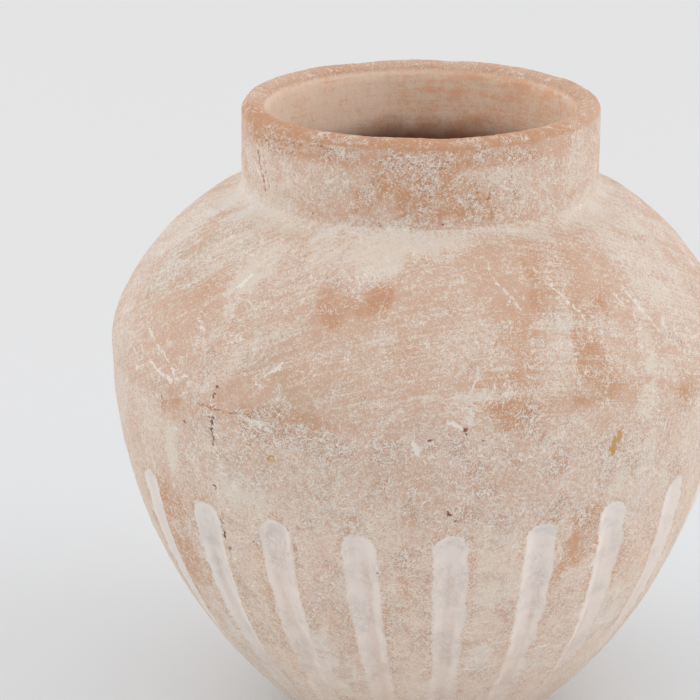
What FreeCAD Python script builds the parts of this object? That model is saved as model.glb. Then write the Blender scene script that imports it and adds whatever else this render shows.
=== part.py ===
import FreeCAD, Part
import math
import os
import Sketcher

# A round-bellied storage jar of fired clay, built up in sections.
# A dish carries the fluted lower wall, a thrown shoulder closes the belly, and a
# straight collar with a rounded lip makes the mouth. Each seam is a ridge that seats
# in a groove, with a coil of clay pressed over it.
# Millimetres, +Z up, origin at the middle of the face that the jar rests on.

# Driving sizes: name, value and what it measures
DRIVING_SIZES = [
    ("foot_radius", 61, "outside radius of the resting face"),
    ("belly_radius", 150, "widest outside radius"),
    ("belly_height", 189, "height of the widest ring, where the two halves meet"),
    ("turn_radius", 41, "outside radius of the turn just above the belly seam"),
    ("turn_rise", 18, "height of that turn above the belly seam"),
    ("shoulder_radius", 128, "outside radius of the shoulder's curve"),
    ("shoulder_seat_depth", 7, "thickness of the shoulder under the collar's inside edge"),
    ("wall", 11, "thickness of the lower wall and of the shoulder at the belly"),
    ("base_thickness", 12, "thickness of the dish's floor"),
    ("foot_band", 14, "height of the outside edge of the dish"),
    ("neck_radius", 86, "outside radius of the collar and the lip"),
    ("neck_wall", 12.4, "thickness of the collar and the lip"),
    ("neck_height", 46.6, "height of collar and lip above the seat on the shoulder"),
    ("lip_depth", 9, "height of the lip ring"),
    ("lip_outer_round", 5.4, "radius of the lip's outer edge"),
    ("key_rise", 3, "height of the ridge that seats in each seam"),
    ("key_reach", 2.6, "half of the ridge's width"),
    ("base_coil_reach", 9, "half of the width of the coil over the dish's seam"),
    ("base_coil_rise", 4, "thickness of that coil at its crown"),
    ("belly_coil_reach", 12, "half of the width of the coil over the belly seam"),
    ("belly_coil_rise", 5, "thickness of that coil at its crown"),
    ("neck_coil_width", 11, "width of the coil round the foot of the collar"),
    ("neck_coil_rise", 5, "height of that coil against the collar"),
    ("neck_coil_hollow", 24, "radius of that coil's hollow outer face"),
    ("flute_count", 21, "number of finger-drawn flutes"),
    ("flute_start", 130, "height where a flute's round top end is centred"),
    ("flute_tip_radius", 13, "radius of the finger that draws the flutes"),
    ("flute_top_depth", 2.6, "depth of a flute at its top"),
    ("flute_foot_depth", 1.1, "depth of a flute at the edge of the dish"),
    ("flute_overrun", 16, "how far the drawing finger runs past the foot"),
]

doc = FreeCAD.newDocument("pithos")


class Size:
    """A size: the formula that binds it to the sheet, and its value for a first draft."""

    def __init__(self, formula, value):
        self.formula = formula
        self.value = value

    def joined(self, sign, other, value):
        return Size("(%s %s %s)" % (self.formula, sign, other.formula), value)

    def __add__(self, other):
        other = as_size(other)
        return self.joined("+", other, self.value + other.value)

    def __sub__(self, other):
        other = as_size(other)
        return self.joined("-", other, self.value - other.value)

    def __mul__(self, other):
        other = as_size(other)
        return self.joined("*", other, self.value * other.value)

    def __truediv__(self, other):
        other = as_size(other)
        return self.joined("/", other, self.value / other.value)


def as_size(number):
    """A plain factor as a Size, so that it can stand in a formula."""
    if isinstance(number, Size):
        return number
    return Size(repr(number), number)


def root(size):
    return Size("sqrt(%s)" % size.formula, math.sqrt(size.value))


def square(size):
    return size * size


def make_sheet():
    """The sheet of driving sizes, and each of them as a Size."""
    sheet = doc.addObject("Spreadsheet::Sheet", "Sizes")
    sizes = {}
    for row, (name, value, meaning) in enumerate(DRIVING_SIZES, start=1):
        sheet.set("A%d" % row, name)
        sheet.set("B%d" % row, str(value))
        sheet.set("C%d" % row, meaning)
        sheet.setAlias("B%d" % row, name)
        sizes[name] = Size("Sizes." + name, value)
    doc.recompute()
    return sizes


given = make_sheet()
worked_out = doc.addObject("App::VarSet", "Curves")


def derive(name, size):
    """Keep a worked-out value in the document under its own name."""
    worked_out.addProperty("App::PropertyFloat", name, "Curves")
    worked_out.setExpression(name, size.formula)
    return Size("Curves." + name, size.value)


zero = as_size(0)
belly_radius = given["belly_radius"]
belly_height = given["belly_height"]
wall = given["wall"]
neck_radius = given["neck_radius"]

# The lower wall's curve stands upright at the belly and passes through the foot's edge
overhang = belly_radius - given["foot_radius"]
lower_radius = derive("lower_radius", (square(overhang) + square(belly_height)) / (overhang * 2))
lower_inner_radius = lower_radius - wall
lower_centre = (derive("lower_centre_x", belly_radius - lower_radius), belly_height)

# The turn above the seam, and the shoulder's curve that goes on from it
turn_radius = given["turn_radius"]
turn_centre = (belly_radius - turn_radius, belly_height)
turn_run = derive("turn_run", root(square(turn_radius) - square(given["turn_rise"])))


def on_turn_ray(radius):
    """The point where the turn ends, at a radius from the turn's centre."""
    share = radius / turn_radius
    return (turn_centre[0] + turn_run * share, turn_centre[1] + given["turn_rise"] * share)


# The outer curve's centre lies on the turn's ray, so that the two curves meet smoothly
shoulder_radius = given["shoulder_radius"]
turn_inner_radius = turn_radius - wall
turn_end = on_turn_ray(turn_radius)
turn_inner_end = on_turn_ray(turn_inner_radius)
shoulder_spot = on_turn_ray(turn_radius - shoulder_radius)
shoulder_centre = (derive("shoulder_centre_x", shoulder_spot[0]),
                   derive("shoulder_centre_z", shoulder_spot[1]))


def above(centre, radius, x):
    """Height of the upper side of a curve at a distance x from the axis."""
    return centre[1] + root(square(radius) - square(x - centre[0]))


def lower_point(radius, height):
    """Point of the lower wall's outer or inner curve at a height."""
    return (lower_centre[0] + root(square(radius) - square(belly_height - height)), height)


# Heights of the collar's seat on the shoulder, of the top and of the lip's seat
neck_inner = neck_radius - given["neck_wall"]
seat_edge = neck_radius + given["neck_coil_width"]
seat_height = derive("seat_height", above(shoulder_centre, shoulder_radius, seat_edge))
top_height = seat_height + given["neck_height"]
lip_seat = top_height - given["lip_depth"]

# The inner curve leaves the turn smoothly and ends under the collar's inside edge
shoulder_inner_end = (neck_inner, seat_height - given["shoulder_seat_depth"])
inner_run = turn_inner_end[0] - shoulder_inner_end[0]
inner_rise = shoulder_inner_end[1] - turn_inner_end[1]
shoulder_inner_radius = derive("shoulder_inner_radius", (square(inner_run) + square(inner_rise))
                               * turn_radius / 2
                               / (inner_run * turn_run - inner_rise * given["turn_rise"]))

# The dish's seam lies square to the lower wall
dish_edge = lower_point(lower_radius, given["foot_band"])
inner_share = lower_inner_radius / lower_radius
dish_inner_edge = (
    derive("dish_inner_x", lower_centre[0] + (dish_edge[0] - lower_centre[0]) * inner_share),
    derive("dish_inner_z", lower_centre[1] + (dish_edge[1] - lower_centre[1]) * inner_share))


def ridge(inner, outer, thickness):
    """The three points of the ridge in the middle of a seam, from inside to outside."""
    along = ((outer[0] - inner[0]) / thickness, (outer[1] - inner[1]) / thickness)
    middle = ((inner[0] + outer[0]) / 2, (inner[1] + outer[1]) / 2)
    reach = given["key_reach"]
    rise = given["key_rise"]
    return [(middle[0] - along[0] * reach, middle[1] - along[1] * reach),
            (middle[0] - along[1] * rise, middle[1] + along[0] * rise),
            (middle[0] + along[0] * reach, middle[1] + along[1] * reach)]


def slid(point, centre, radius, reach, way):
    """A point moved by a reach along its curve: way is 1 upwards and -1 downwards."""
    cosine = as_size(1) - square(reach) / (square(radius) * 2)
    sine = root(as_size(1) - square(cosine)) * way
    across = point[0] - centre[0]
    along = point[1] - centre[1]
    return (centre[0] + across * cosine - along * sine,
            centre[1] + along * cosine + across * sine)


def crown_radius(reach, rise):
    """Radius of a pressed coil's crown over its half width and its thickness."""
    return (square(reach) + square(rise)) / (rise * 2)


class Outline:
    """A closed outline in a sketch, made point by point of lines and arcs."""

    def __init__(self, body, name):
        self.sketch = body.newObject("Sketcher::SketchObject", name)
        attach(self.sketch, body, "XZ_Plane")
        self.edges = []
        self.first = None
        self.here = None

    def start(self, point):
        self.first = point
        self.here = point

    def line(self, point):
        ends = [FreeCAD.Vector(x.value, z.value, 0) for x, z in (self.here, point)]
        index = self.sketch.addGeometry(Part.LineSegment(*ends), False)
        self.edges.append((index, 1, 2, point, None))
        self.here = point

    def lines(self, points):
        for point in points:
            self.line(point)

    def arc(self, point, radius, left=True):
        """An arc to the point, with its centre on the left or right of the way there."""
        a = FreeCAD.Vector(self.here[0].value, self.here[1].value, 0)
        b = FreeCAD.Vector(point[0].value, point[1].value, 0)
        half = (b - a) / 2
        side = FreeCAD.Vector(-half.y, half.x, 0)
        side.normalize()
        depth = math.sqrt(max(radius.value ** 2 - half.Length ** 2, 0))
        centre = a + half + side * (depth if left else -depth)
        first, last = (a, b) if left else (b, a)
        angles = [math.atan2(end.y - centre.y, end.x - centre.x) for end in (first, last)]
        circle = Part.Circle(centre, FreeCAD.Vector(0, 0, 1), radius.value)
        index = self.sketch.addGeometry(Part.ArcOfCircle(circle, *angles), False)
        begin, end = (1, 2) if left else (2, 1)
        self.edges.append((index, begin, end, point, radius))
        self.here = point

    def bind(self, kind, index, spot, size, name):
        """Hold one coordinate of a point at a size of the sheet."""
        if size is zero:
            axis = -2 if kind == "DistanceX" else -1
            self.sketch.addConstraint(Sketcher.Constraint("PointOnObject", index, spot, axis))
            return
        held = Sketcher.Constraint(kind, -1, 1, index, spot, size.value)
        number = self.sketch.addConstraint(held)
        self.sketch.renameConstraint(number, name)
        self.sketch.setExpression("Constraints." + name, size.formula)

    def close(self):
        """Join the edges end to end and bind every point and radius to its size."""
        if self.here is not self.first:
            self.line(self.first)
        joints = zip(self.edges, self.edges[1:] + self.edges[:1])
        for order, (edge, following) in enumerate(joints):
            index, begin, end, point, radius = edge
            joined = Sketcher.Constraint("Coincident", index, end, following[0], following[1])
            self.sketch.addConstraint(joined)
            self.bind("DistanceX", index, end, point[0], "x%d" % order)
            self.bind("DistanceY", index, end, point[1], "z%d" % order)
            if radius is not None:
                held = Sketcher.Constraint("Radius", index, radius.value)
                number = self.sketch.addConstraint(held)
                self.sketch.renameConstraint(number, "radius%d" % order)
                self.sketch.setExpression("Constraints.radius%d" % order, radius.formula)
        return self.sketch


def origin_feature(body, role):
    for feature in body.Origin.OriginFeatures:
        if feature.Role == role:
            return feature


def attach(sketch, body, role):
    sketch.AttachmentSupport = [(origin_feature(body, role), "")]
    sketch.MapMode = "FlatFace"


def new_body(name):
    body = doc.addObject("PartDesign::Body", name)
    body.Label = name
    return body


def turn_round(body, sketch):
    """Turn an outline once round the jar's axis."""
    doc.recompute()
    ring = body.newObject("PartDesign::Revolution", body.Name + "_turned")
    ring.Profile = (sketch, [""])
    ring.ReferenceAxis = (sketch, ["V_Axis"])
    ring.Angle = 360
    sketch.Visibility = False
    doc.recompute()
    return body


# Flutes: one finger-drawn hollow follows the lower wall and grows shallower downwards
flute_tip = given["flute_tip_radius"]
flute_fall = given["flute_start"] - given["foot_band"]
flute_drop = derive("flute_drop", (given["flute_top_depth"] - given["flute_foot_depth"])
                    * lower_radius / flute_fall)
flute_centre_z = belly_height - flute_drop
flute_path = derive("flute_path", lower_radius + flute_tip - given["flute_top_depth"]
                    - flute_drop * (belly_height - given["flute_start"]) / lower_radius)
flute_top_sine = (flute_centre_z - given["flute_start"]) / flute_path
flute_end_sine = flute_centre_z / (flute_path - flute_tip)


def draw_flutes(body, with_round_ends):
    """Cut the flutes into one body of the lower jar, evenly round the axis."""
    whole = body.Shape.Volume
    section = body.newObject("Sketcher::SketchObject", body.Name + "_flute_section")
    attach(section, body, "XY_Plane")
    tilt = FreeCAD.Rotation(FreeCAD.Vector(0, 1, 0), math.degrees(math.asin(flute_top_sine.value)))
    section.AttachmentOffset = FreeCAD.Placement(FreeCAD.Vector(0, 0, 0), tilt)
    section.setExpression("AttachmentOffset.Base.x", lower_centre[0].formula)
    section.setExpression("AttachmentOffset.Base.z", flute_centre_z.formula)
    section.setExpression("AttachmentOffset.Rotation.Angle", "asin(%s)" % flute_top_sine.formula)
    middle = FreeCAD.Vector(flute_path.value, 0, 0)
    finger = Part.Circle(middle, FreeCAD.Vector(0, 0, 1), flute_tip.value)
    section.addGeometry(finger, False)
    section.addConstraint(Sketcher.Constraint("PointOnObject", 0, 3, -1))
    section.addConstraint(Sketcher.Constraint("DistanceX", -1, 1, 0, 3, flute_path.value))
    section.renameConstraint(1, "path")
    section.setExpression("Constraints.path", flute_path.formula)
    section.addConstraint(Sketcher.Constraint("Radius", 0, flute_tip.value))
    section.renameConstraint(2, "tip")
    section.setExpression("Constraints.tip", flute_tip.formula)
    doc.recompute()

    groove = body.newObject("PartDesign::Groove", body.Name + "_flute")
    groove.Profile = (section, [""])
    groove.ReferenceAxis = (section, ["V_Axis"])
    swing = "asin(%s) - asin(%s) + %s / %s * 1 rad" % (
        flute_end_sine.formula, flute_top_sine.formula,
        given["flute_overrun"].formula, flute_path.formula)
    groove.setExpression("Angle", swing)
    section.Visibility = False
    doc.recompute()
    repeat_round(body, groove)

    if with_round_ends:
        end = body.newObject("PartDesign::SubtractiveSphere", body.Name + "_flute_end")
        end.setExpression("Radius", flute_tip.formula)
        cosine = root(as_size(1) - square(flute_top_sine))
        end.setExpression("Placement.Base.x", (lower_centre[0] + flute_path * cosine).formula)
        end.setExpression("Placement.Base.z", given["flute_start"].formula)
        doc.recompute()
        repeat_round(body, end)
    if body.Shape.Volume >= whole:
        raise RuntimeError("the flutes of %s cut nothing" % body.Label)


def repeat_round(body, feature):
    """Repeat one cut evenly round the jar's axis, once for each flute."""
    ring = body.newObject("PartDesign::PolarPattern", feature.Name + "_ring")
    ring.Originals = [feature]
    ring.Axis = (origin_feature(body, "Z_Axis"), [""])
    ring.Angle = 360
    ring.setExpression("Occurrences", given["flute_count"].formula)
    body.Tip = ring
    doc.recompute()


def make_base_dish():
    """Floor of the jar, with the low rim that the lower wall is luted to."""
    body = new_body("base_dish")
    outline = Outline(body, "base_dish_outline")
    outline.start((zero, zero))
    outline.line((given["foot_radius"], zero))
    outline.arc(dish_edge, lower_radius)
    outline.lines(reversed(ridge(dish_inner_edge, dish_edge, wall)))
    outline.line(dish_inner_edge)
    outline.arc(lower_point(lower_inner_radius, given["base_thickness"]), lower_inner_radius, False)
    outline.line((zero, given["base_thickness"]))
    turn_round(body, outline.close())
    draw_flutes(body, False)
    return body


def make_lower_wall():
    """Wall from the dish to the belly, with the round-topped flutes."""
    body = new_body("lower_wall")
    outline = Outline(body, "lower_wall_outline")
    belly = (belly_radius, belly_height)
    belly_inside = (belly_radius - wall, belly_height)
    outline.start(dish_inner_edge)
    outline.lines(ridge(dish_inner_edge, dish_edge, wall))
    outline.line(dish_edge)
    outline.arc(belly, lower_radius)
    outline.lines(reversed(ridge(belly_inside, belly, wall)))
    outline.line(belly_inside)
    outline.arc(outline.first, lower_inner_radius, False)
    turn_round(body, outline.close())
    draw_flutes(body, True)
    return body


def make_shoulder_wall():
    """Upper half of the body, from the belly seam up to the collar's seat."""
    body = new_body("shoulder_wall")
    outline = Outline(body, "shoulder_wall_outline")
    belly = (belly_radius, belly_height)
    belly_inside = (belly_radius - wall, belly_height)
    seat_outside = (neck_radius, seat_height)
    seat_inside = (neck_inner, seat_height)
    outline.start(belly_inside)
    outline.lines(ridge(belly_inside, belly, wall))
    outline.line(belly)
    outline.arc(turn_end, turn_radius)
    outline.arc((seat_edge, seat_height), shoulder_radius)
    outline.lines(reversed(ridge(seat_inside, seat_outside, given["neck_wall"])))
    outline.line(seat_inside)
    outline.line(shoulder_inner_end)
    outline.arc(turn_inner_end, shoulder_inner_radius, False)
    outline.arc(outline.first, turn_inner_radius, False)
    return turn_round(body, outline.close())


def make_neck_collar():
    """Straight wide collar, seated on the shoulder."""
    body = new_body("neck_collar")
    outline = Outline(body, "neck_collar_outline")
    outline.start((neck_inner, seat_height))
    outline.lines(ridge((neck_inner, seat_height), (neck_radius, seat_height),
                        given["neck_wall"]))
    outline.line((neck_radius, seat_height))
    outline.line((neck_radius, lip_seat))
    outline.lines(reversed(ridge((neck_inner, lip_seat), (neck_radius, lip_seat),
                                 given["neck_wall"])))
    outline.line((neck_inner, lip_seat))
    return turn_round(body, outline.close())


def make_rim_lip():
    """Rounded lip on the collar: a tight outer edge and a softer inner one."""
    body = new_body("rim_lip")
    outline = Outline(body, "rim_lip_outline")
    outer_round = given["lip_outer_round"]
    inner_round = given["neck_wall"] - outer_round
    outline.start((neck_inner, lip_seat))
    outline.lines(ridge((neck_inner, lip_seat), (neck_radius, lip_seat), given["neck_wall"]))
    outline.line((neck_radius, lip_seat))
    outline.line((neck_radius, top_height - outer_round))
    outline.arc((neck_radius - outer_round, top_height), outer_round)
    outline.arc((neck_inner, top_height - inner_round), inner_round)
    return turn_round(body, outline.close())


def make_neck_luting_coil():
    """Coil smoothed hollow into the corner outside, between the shoulder and the collar."""
    body = new_body("neck_luting_coil")
    outline = Outline(body, "neck_luting_coil_outline")
    outline.start((neck_radius, seat_height))
    outline.line((seat_edge, seat_height))
    crease = (neck_radius, seat_height + given["neck_coil_rise"])
    outline.arc(crease, given["neck_coil_hollow"], False)
    return turn_round(body, outline.close())


def make_belly_luting_coil():
    """Coil pressed over the belly seam inside."""
    body = new_body("belly_luting_coil")
    outline = Outline(body, "belly_luting_coil_outline")
    reach = given["belly_coil_reach"]
    seam = (belly_radius - wall, belly_height)
    low = slid(seam, lower_centre, lower_inner_radius, reach, -1)
    high = slid(seam, turn_centre, turn_inner_radius, reach, 1)
    outline.start(low)
    outline.arc(seam, lower_inner_radius)
    outline.arc(high, turn_inner_radius)
    outline.arc(outline.first, crown_radius(reach, given["belly_coil_rise"]))
    return turn_round(body, outline.close())


def make_base_luting_coil():
    """Coil pressed over the dish's seam inside."""
    body = new_body("base_luting_coil")
    outline = Outline(body, "base_luting_coil_outline")
    reach = given["base_coil_reach"]
    low = slid(dish_inner_edge, lower_centre, lower_inner_radius, reach, -1)
    high = slid(dish_inner_edge, lower_centre, lower_inner_radius, reach, 1)
    outline.start(low)
    outline.arc(high, lower_inner_radius)
    outline.arc(outline.first, crown_radius(reach, given["base_coil_rise"]))
    return turn_round(body, outline.close())


pieces = [
    make_base_dish(),
    make_base_luting_coil(),
    make_lower_wall(),
    make_belly_luting_coil(),
    make_shoulder_wall(),
    make_neck_luting_coil(),
    make_neck_collar(),
    make_rim_lip(),
]

doc.recompute()
for item in doc.Objects:
    if "Invalid" in item.State or "Error" in item.State:
        raise RuntimeError("%s did not recompute" % item.Label)
for piece in pieces:
    shape = piece.Shape
    if shape.isNull() or not shape.isValid() or len(shape.Solids) != 1:
        raise RuntimeError("%s is not one valid solid" % piece.Label)

os.makedirs("parts", exist_ok=True)
for piece in pieces:
    piece.Shape.exportStep("parts/%s.step" % piece.Label)
    box = piece.Shape.optimalBoundingBox()
    print("%s: %.0f cubic mm, from z %.2f to %.2f, across %.2f" % (
        piece.Label, piece.Shape.Volume, box.ZMin, box.ZMax, box.XLength))
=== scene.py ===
import math
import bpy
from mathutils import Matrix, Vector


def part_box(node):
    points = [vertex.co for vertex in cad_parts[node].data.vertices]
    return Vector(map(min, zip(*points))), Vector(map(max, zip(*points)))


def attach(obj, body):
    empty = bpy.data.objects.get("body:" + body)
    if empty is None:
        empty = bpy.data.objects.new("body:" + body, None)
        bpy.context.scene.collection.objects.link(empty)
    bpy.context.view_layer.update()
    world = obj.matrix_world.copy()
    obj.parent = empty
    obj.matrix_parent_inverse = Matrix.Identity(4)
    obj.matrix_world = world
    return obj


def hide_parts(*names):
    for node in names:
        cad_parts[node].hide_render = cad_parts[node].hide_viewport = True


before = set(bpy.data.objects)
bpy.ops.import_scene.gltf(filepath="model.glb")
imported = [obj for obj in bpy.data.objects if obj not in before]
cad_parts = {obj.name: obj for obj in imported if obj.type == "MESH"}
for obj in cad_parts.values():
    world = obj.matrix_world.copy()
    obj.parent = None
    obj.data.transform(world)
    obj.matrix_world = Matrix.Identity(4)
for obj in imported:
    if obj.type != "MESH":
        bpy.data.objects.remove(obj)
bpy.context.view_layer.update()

from types import SimpleNamespace

import bpy
import numpy as np
from mathutils import Vector

# A round jar of pale clay under a worn lime wash. Metres, +Z up, as in the frame.
# Azimuths are in degrees from the side that faces the camera, positive to the right.
MM = 0.001

# Sizes read from the frame
BELLY_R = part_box("lower_wall")[1].x
BELLY_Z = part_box("shoulder_wall")[0].z
NECK_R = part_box("neck_collar")[1].x
SEAT_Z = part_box("neck_collar")[0].z
LIP_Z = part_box("rim_lip")[0].z
TOP_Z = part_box("rim_lip")[1].z

# Sizes of the walls and curves
FOOT_R = 61 * MM
FLOOR_THICK = 12 * MM
FLOOR_FAN_R = 3 * MM
DISH_Z = 14 * MM
WALL = 11 * MM
TURN_R = 41 * MM
TURN_RISE = 18 * MM
SHOULDER_R = 128 * MM
SHOULDER_DEPTH = 7 * MM
NECK_WALL = 12.4 * MM
LIP_ROUND = 5.4 * MM

# The slip coil in the neck's corner, and the shoulder's hollow round it
HOLLOW = 2.2 * MM
HOLLOW_REACH = 18 * MM
FILLET_REACH = 4.5 * MM
FILLET_RISE = 9.6 * MM
FILLET_CORNER = 0.6 * MM
FILLET_TUCK = 0.9 * MM
FILLET_POINTS = 15
FILLET_SKIN_LOSS = 0.7

# The finger flutes
FLUTES = 21
FLUTE_STEP = 360 / FLUTES
FLUTE_FIRST = 6.24
FLUTE_TOP = 139 * MM
FLUTE_FOOT = 50 * MM
FLUTE_HALF = 7.9 * MM
FLUTE_HALF_FOOT = 6.2 * MM
FLUTE_DEPTH = 2.6 * MM
FLUTE_DEPTH_FOOT = 1.2 * MM
FLUTE_EDGE = (1.12, 0.2)
FAR_OUTSIDE = -30 * MM
# Those in the photograph: top azimuth, top height, azimuth at FLUTE_FOOT, breadth
SEEN_FLUTES = (
    (-61.1, 142.2, -63.8, 0.95), (-43.1, 139.6, -44.6, 1.0), (-27.3, 139.1, -27.5, 1.0),
    (-11.0, 136.9, -9.6, 1.0), (6.0, 137.9, 6.7, 1.0), (23.1, 140.0, 24.3, 0.98),
    (38.3, 144.4, 42.2, 0.95), (56.6, 143.8, 59.0, 0.95))

# How uneven the others are: lean in degrees, top in mm and breadth
LEAN_SPREAD = 0.7
TOP_SPREAD = 2.2
BREADTH_SPREAD = 0.04

# The clay that shows through the chalk of each flute: place across, half breadth, amount
WORN_STRIPES = (
    (0.0, 0.3, 0.3), (-0.2, 0.7, 0.5), (-0.25, 0.8, 0.5), (0.15, 0.6, 0.55),
    (0.1, 0.6, 0.45), (0.2, 0.5, 0.5), (-0.1, 0.4, 0.4), (0.1, 0.4, 0.3))

# The hand-made skin's unevenness, each row: depth and grain in mm, seed, stretch
UNEVEN = ((0.17, 90, 11, 1.0), (0.07, 22, 12, 1.6), (0.05, 7, 13, 1.0))
LEAST_SUNK = 0.02
# The share of it that the inside of the neck has
INSIDE_SKIN = 0.6
SHARP_ANGLE = 50

# The camera and how the photograph frames the jar
CAMERA_AZIMUTH = -91.95
CAMERA_RISE = 17.84
CAMERA_DISTANCE = 1.6
CAMERA_TARGET_Z = 180 * MM
CAMERA_PAN = 1.27
CAMERA_LENS = 168.15
CAMERA_SENSOR = 36
CAMERA_CLIP = 60

# The plain studio: lamps as azimuth from the camera, rise and power, and ramps for the floor's
# painted shade towards the camera and painted pool of light at the near right, and for the
# surroundings' tones
FLOOR_HALF = 12.0
FLOOR_PAINTED_FALLOFF = (-0.5, 0.9)
FLOOR_SIDE_PAINTED_LIGHT = (0.05, 0.3)
LAMP_SIZE = 3.0
LAMP_DISTANCE = 5.0
LAMPS = {"left_lamp": (-100, 35, 24.0), "right_lamp": (80, 30, 30.0)}
WORLD_LEVEL = 0.72
WORLD_SIDES = (0.45, 0.95, 0, 0.4)
WORLD_ABOVE = (0.3, 0.95, 0, 0.16)
WORLD_FRONT = (0.2, 0.9, 0, -0.12)
WORLD_HORIZON = (0.4, 0.0, 0, 0.3)

# Mesh density
COLUMNS = 640
STEP = 1.6 * MM
FINE_STEP = 0.95 * MM
COARSE_STEP = 8 * MM

# The outline's arcs: the lower wall, the tight turn above the belly and the shoulder
lower_r = ((BELLY_R - FOOT_R) ** 2 + BELLY_Z ** 2) / (2 * (BELLY_R - FOOT_R))
lower_centre = (BELLY_R - lower_r, BELLY_Z)
turn_centre = (BELLY_R - TURN_R, BELLY_Z)
turn_angle = math.asin(TURN_RISE / TURN_R)
shoulder_centre = (turn_centre[0] - (SHOULDER_R - TURN_R) * math.cos(turn_angle),
                   turn_centre[1] - (SHOULDER_R - TURN_R) * math.sin(turn_angle))
seat_edge = shoulder_centre[0] + math.sqrt(SHOULDER_R ** 2 - (SEAT_Z - shoulder_centre[1]) ** 2)


def smooth(low, high, value):
    """0 below low, 1 above high and smooth between; low may be the higher one."""
    share = np.clip((value - low) / (high - low), 0, 1)
    return share * share * (3 - 2 * share)


def wobble(azimuth, along, size, seed, stretch=1.0, terms=28):
    """Smooth uneven field of about unit height, the same at both ends of a turn.
    size is its grain in metres, and stretch draws it out round the jar."""
    draw = np.random.default_rng(seed)
    turn = np.radians(azimuth)
    total = np.zeros_like(azimuth)
    for _ in range(terms):
        pitch = size * draw.uniform(0.7, 1.6)
        way = draw.uniform(0, 2 * math.pi)
        waves = round(2 * math.pi * BELLY_R / pitch * math.cos(way) / stretch)
        rate = 2 * math.pi / pitch * math.sin(way)
        total += np.cos(waves * turn + rate * along + draw.uniform(0, 2 * math.pi))
    return total * math.sqrt(2 / terms)


class Outline:
    """A closed section of points with outward normals. skin is 1 where the surface shows."""

    def __init__(self):
        self.points = []
        self.normals = []
        self.skin = []

    def add(self, point, normal, skin):
        if self.points and math.dist(point, self.points[-1]) < 1e-7:
            if skin > self.skin[-1]:
                self.normals[-1] = normal
                self.skin[-1] = skin
            return
        self.points.append(point)
        self.normals.append(normal)
        self.skin.append(skin)

    def line(self, start, end, step, skin=0.0):
        """A straight run with its outward normal on the right of the way along it."""
        length = math.dist(start, end)
        count = max(1, round(length / step))
        normal = ((end[1] - start[1]) / length, -(end[0] - start[0]) / length)
        for i in range(count + 1):
            share = i / count
            point = tuple(a + (b - a) * share for a, b in zip(start, end))
            self.add(point, normal, skin)

    def arc(self, centre, radius, start, end, step, skin=0.0, hollow=False):
        """An arc between two angles in radians. A hollow one has its normals inwards."""
        count = max(2, round(abs(end - start) * radius / step))
        way = -1 if hollow else 1
        for i in range(count + 1):
            angle = start + (end - start) * i / count
            normal = (math.cos(angle) * way, math.sin(angle) * way)
            self.add(on_circle(centre, radius, angle), normal, skin)


def on_circle(centre, radius, angle):
    return (centre[0] + radius * math.cos(angle), centre[1] + radius * math.sin(angle))


def angle_at(centre, point):
    return math.atan2(point[1] - centre[1], point[0] - centre[0])


def lower_angle(radius, height):
    """Angle on the lower wall's curve of a radius at a height."""
    return math.asin((height - lower_centre[1]) / radius)


def list_flutes():
    """All flutes: the ones in the photograph, and the rest evenly spaced but uneven by hand."""
    flutes = [(top, rise * MM, foot, breadth) for top, rise, foot, breadth in SEEN_FLUTES]
    draw = np.random.default_rng(7)
    first = FLUTE_FIRST + 4 * FLUTE_STEP
    for k in range(FLUTES - len(flutes)):
        lean, foot = draw.normal(0, LEAN_SPREAD, 2)
        flutes.append((first + k * FLUTE_STEP + lean,
                       FLUTE_TOP + draw.normal(0, TOP_SPREAD) * MM,
                       first + k * FLUTE_STEP + foot, draw.normal(1, BREADTH_SPREAD)))
    return flutes


def wrapped(azimuth):
    """Degrees brought between -180 and 180."""
    return (azimuth + 180) % 360 - 180


def flute_depth(azimuth, height, radius):
    """The flutes at each point: depth, how far inside an edge it is, and worn stripe."""
    depth = np.zeros_like(azimuth)
    inside = np.full_like(azimuth, FAR_OUTSIDE)
    stripe = np.zeros_like(azimuth)
    for k, (top, rise, foot, breadth) in enumerate(list_flutes()):
        down = np.clip((rise - height) / rise, 0, 1)
        slide = np.clip((rise - height) / (rise - FLUTE_FOOT), 0, 1.4)
        across = np.radians(wrapped(azimuth - top - (foot - top) * slide)) * radius
        half = (FLUTE_HALF + (FLUTE_HALF_FOOT - FLUTE_HALF) * down) * breadth
        past_end = np.maximum(height - (rise - half), 0)
        away = np.hypot(across, past_end)
        hollow = FLUTE_DEPTH + (FLUTE_DEPTH_FOOT - FLUTE_DEPTH) * down
        depth = np.maximum(depth, hollow * smooth(*FLUTE_EDGE, away / half))
        inside = np.maximum(inside, half - away)
        place, breadth_worn, amount = WORN_STRIPES[k % len(WORN_STRIPES)]
        side = np.abs(across / half - place)
        stripe = np.maximum(stripe, amount * smooth(breadth_worn, breadth_worn * 0.2, side)
                            * smooth(rise - half, rise - 3 * half, height))
    return depth, inside, stripe


def relief(azimuth, height):
    """How far the hand-made outer skin lies under the true curve, in metres."""
    total = sum(depth * (1 + wobble(azimuth, height, grain * MM, seed, stretch))
                for depth, grain, seed, stretch in UNEVEN)
    return np.maximum(total, LEAST_SUNK) * MM


def ring_faces(rows, closed):
    """Faces between the rings of a turned section. An open one ends in fans on the axis."""
    index = np.arange(rows * COLUMNS).reshape(rows, COLUMNS)
    upper = np.roll(index, -1, axis=0) if closed else index[1:]
    lower = index if closed else index[:-1]
    beside = np.roll(lower, -1, axis=1)
    corner = np.roll(upper, -1, axis=1)
    faces = np.stack([lower, beside, corner, upper], -1).reshape(-1, 4).tolist()
    if not closed:
        first, last = index.size, index.size + 1
        faces += [(first, b, a) for a, b in zip(index[0], np.roll(index[0], -1))]
        faces += [(last, a, b) for a, b in zip(index[-1], np.roll(index[-1], -1))]
    return faces


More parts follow.
